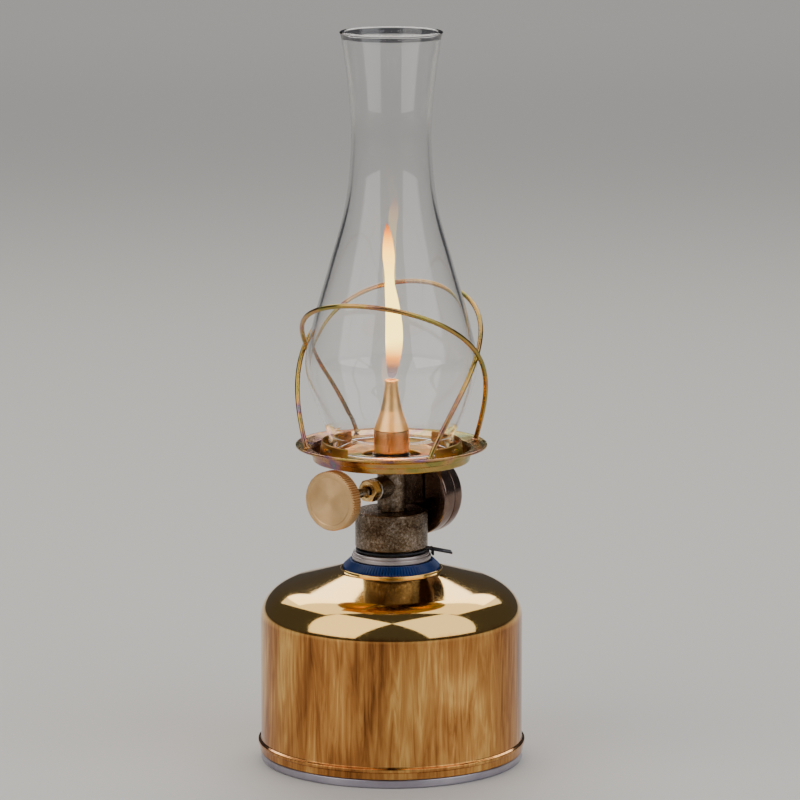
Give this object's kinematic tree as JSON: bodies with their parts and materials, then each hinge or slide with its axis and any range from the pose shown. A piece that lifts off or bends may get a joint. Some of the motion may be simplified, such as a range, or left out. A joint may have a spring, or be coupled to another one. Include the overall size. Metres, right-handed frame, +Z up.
{
  "type": "gas candle lamp",
  "caption": "Tabletop gas candle lamp: cartridge in a polished brass cover, valve body with side knob and regulator, flared burner, glass chimney and wire guard.",
  "frame": {"origin": "centre of the face that stands on the table, on the lamp's axis", "axes": "+Z up along the lamp's axis; the knob points to the front left (-X -Y), the regulator to the back right (+X +Y)"},
  "size_m": [0.094, 0.094, 0.2564],
  "materials": {
    "brass_polished": "mirror-polished yellow brass, spun",
    "brass_turned": "turned brass with fine concentric lines",
    "brass_burner": "copper-toned brass, satin foot and polished flare",
    "brass_nut": "machined brass",
    "can_paint": "grey lacquered tin plate",
    "cup_steel": "tin-plated steel, satin",
    "body_nickel": "rough casting with dark antique nickel plating",
    "regulator_nickel": "smooth dark nickel plating",
    "zinc_yellow": "yellow-passivated zinc plating, iridescent",
    "plain_steel": "plain machined steel",
    "rubber_black": "black nitrile rubber",
    "plastic_blue": "blue moulded plastic with a ribbed edge",
    "plastic_white": "natural moulded plastic",
    "bronze_sinter": "sintered bronze",
    "chimney_glass": "clear blown glass"
  },
  "bodies": {
    "cartridge": {"cartridge_shell": "can_paint", "cartridge_base": "can_paint", "cartridge_valve_cup": "cup_steel", "cartridge_valve_housing": "plastic_white", "cartridge_valve_seal": "rubber_black", "cartridge_valve_spring": "plain_steel"},
    "valve_stem": {"cartridge_valve_stem": "brass_nut"},
    "cover": {"canister_cover": "brass_polished", "cover_grommet": "plastic_blue"},
    "gasket": {"cartridge_gasket": "rubber_black"},
    "head": {"valve_body": "body_nickel", "tab_washer": "plain_steel", "cartridge_pin": "plain_steel", "inlet_filter": "bronze_sinter", "spindle_o_ring": "rubber_black", "gland_washer": "plain_steel", "gland_nut": "brass_nut", "regulator_case_front": "regulator_nickel", "regulator_case_back": "regulator_nickel", "regulator_diaphragm": "rubber_black", "regulator_spring": "plain_steel", "plate": "zinc_yellow", "glass_seat": "zinc_yellow", "plate_washer": "plain_steel", "plate_nut": "plain_steel", "burner_jet": "brass_nut", "burner_base": "brass_burner", "burner_cone": "brass_burner", "guard_hoop_a": "zinc_yellow", "guard_hoop_b": "zinc_yellow"},
    "regulator_plunger": {"regulator_plunger": "brass_nut"},
    "knob": {"knob": "brass_turned", "spindle": "plain_steel", "knob_grub_screw": "plain_steel"},
    "chimney": {"glass_chimney": "chimney_glass"}
  },
  "joints": [
    {"name": "head_rise", "type": "slide", "parent": "cartridge", "child": "gasket", "axis": [0, 0, 1], "range_m": [0, 0.0046]},
    {"name": "head_unscrew", "type": "hinge", "parent": "gasket", "child": "head", "pos_m": [0, 0, 0.075], "axis": [0, 0, 1], "range_deg": [0, 1800]},
    {"name": "knob_turn", "type": "hinge", "parent": "head", "child": "knob", "pos_m": [0, 0, 0.0974], "axis": [-0.5835, -0.8121, 0], "range_deg": [-180, 270]},
    {"name": "chimney_lift", "type": "slide", "parent": "head", "child": "chimney", "axis": [0, 0, 1], "range_m": [0, 0.06]},
    {"name": "cover_turn", "type": "hinge", "parent": "cartridge", "child": "cover", "pos_m": [0, 0, 0.03], "axis": [0, 0, 1], "continuous": true},
    {"name": "valve_stem_press", "type": "slide", "parent": "cartridge", "child": "valve_stem", "axis": [0, 0, -1], "range_m": [0, 0.0008], "stiffness_N_per_m": 600, "springref_m": -0.002},
    {"name": "regulator_stroke", "type": "slide", "parent": "head", "child": "regulator_plunger", "axis": [0.5592, 0.829, 0], "range_m": [0, 0.0005], "stiffness_N_per_m": 400, "springref_m": -0.001}
  ],
  "couplings": [
    {"joint": "head_rise", "follows": "head_unscrew", "m_per_rad": 0.00014438}
  ]
}
